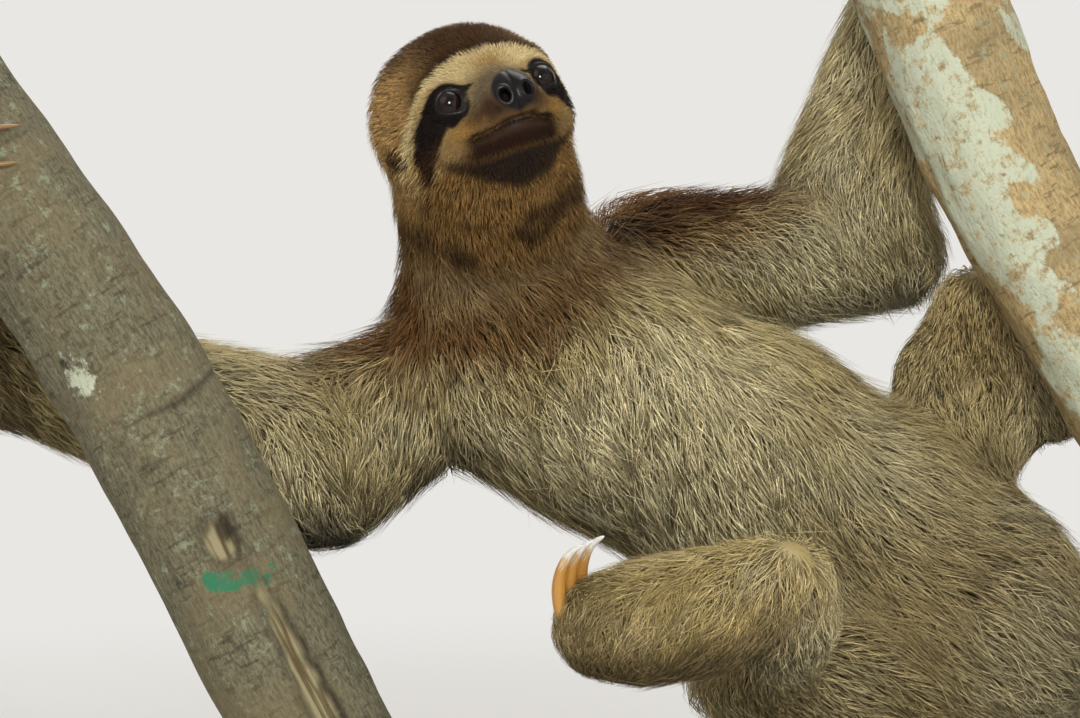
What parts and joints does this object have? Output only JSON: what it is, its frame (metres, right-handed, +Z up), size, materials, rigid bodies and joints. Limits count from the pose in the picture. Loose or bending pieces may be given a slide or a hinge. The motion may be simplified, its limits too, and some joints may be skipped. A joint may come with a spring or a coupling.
{
  "type": "three-toed sloth",
  "caption": "Life-size three-toed sloth stretched between lengths of leaning trunk that it grips with its claws, held by a plain display stand.",
  "frame": {"origin": "centre of the stand base's underside", "axes": "+Z up, the sloth's belly and face look towards -Y, its head is at -X and its rump at +X"},
  "size_m": [0.7009, 0.2649, 0.5509],
  "materials": {
    "coat": "long coarse grizzled hair",
    "brown_coat": "long brown hair",
    "face_coat": "short dense hair with a dark mask",
    "eye": "wet gloss",
    "claw": "worn horn, satin",
    "bark_grey": "rough grey bark",
    "bark_pale": "rough bark with pale lichen",
    "stand_lacquer": "dark satin lacquer",
    "stand_steel": "brushed"
  },
  "bodies": {
    "root": {"head": "face_coat", "neck": "brown_coat", "upper_arm_left": "brown_coat", "ear_left": "brown_coat", "ear_right": "brown_coat", "thorax": "coat", "abdomen": "coat", "rump": "coat", "tail": "coat", "upper_arm_right": "coat", "forearm_right": "coat", "hand_right": "coat", "forearm_left": "coat", "hand_left": "coat", "thigh_right": "coat", "shank_right": "coat", "foot_right": "coat", "thigh_left": "coat", "shank_left": "coat", "foot_left": "coat", "eye_left": "eye", "eye_right": "eye", "claw_hand_right_1": "claw", "claw_hand_right_2": "claw", "claw_hand_right_3": "claw", "claw_hand_left_1": "claw", "claw_hand_left_2": "claw", "claw_hand_left_3": "claw", "claw_foot_right_1": "claw", "claw_foot_right_2": "claw", "claw_foot_right_3": "claw", "claw_foot_left_1": "claw", "claw_foot_left_2": "claw", "claw_foot_left_3": "claw", "perch_right": "bark_grey", "perch_left": "bark_pale", "stand_base": "stand_lacquer", "stand_rod_right": "stand_steel", "stand_collar_right": "stand_steel", "stand_rod_left": "stand_steel", "stand_collar_left": "stand_steel"}
  },
  "joints": []
}
